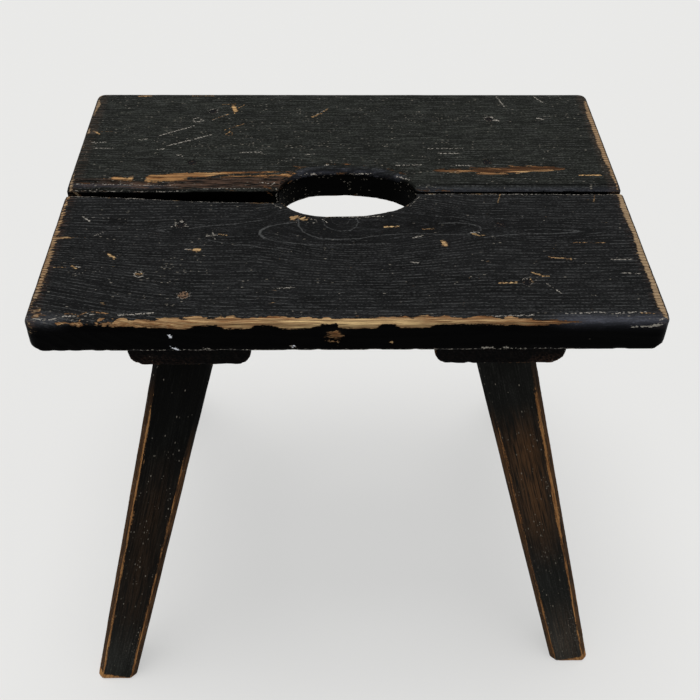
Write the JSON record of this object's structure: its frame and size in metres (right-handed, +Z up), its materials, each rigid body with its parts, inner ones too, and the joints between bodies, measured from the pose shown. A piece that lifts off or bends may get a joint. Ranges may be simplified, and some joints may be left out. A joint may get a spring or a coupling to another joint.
{
  "type": "milking stool",
  "caption": "Low wooden stool with an oval hand hole through a gapped plank seat, on splayed tapered legs; worn black paint.",
  "frame": {"origin": "on the floor, under the middle of the seat", "axes": "+X along the grain of the seat boards, +Y to the back, +Z up"},
  "size_m": [0.4377, 0.3684, 0.39],
  "materials": {
    "seat_boards": "old matt black paint on softwood, worn through to golden wood along the edges",
    "battens": "old matt black paint on softwood, rubbed brown at the ends",
    "legs": "old matt black paint on softwood, worn to orange-brown wood along the chamfers and feet",
    "wedges": "bare hardwood",
    "nails": "dark rusted iron under traces of black paint"
  },
  "bodies": {
    "root": {"front_seat_board": "seat_boards", "front_board_nails": "nails", "left_batten": "battens", "front_left_leg": "legs", "front_left_wedge": "wedges", "right_batten": "battens", "front_right_leg": "legs", "front_right_wedge": "wedges", "back_seat_board": "seat_boards", "back_board_nails": "nails", "back_left_leg": "legs", "back_left_wedge": "wedges", "back_right_leg": "legs", "back_right_wedge": "wedges"}
  },
  "joints": []
}
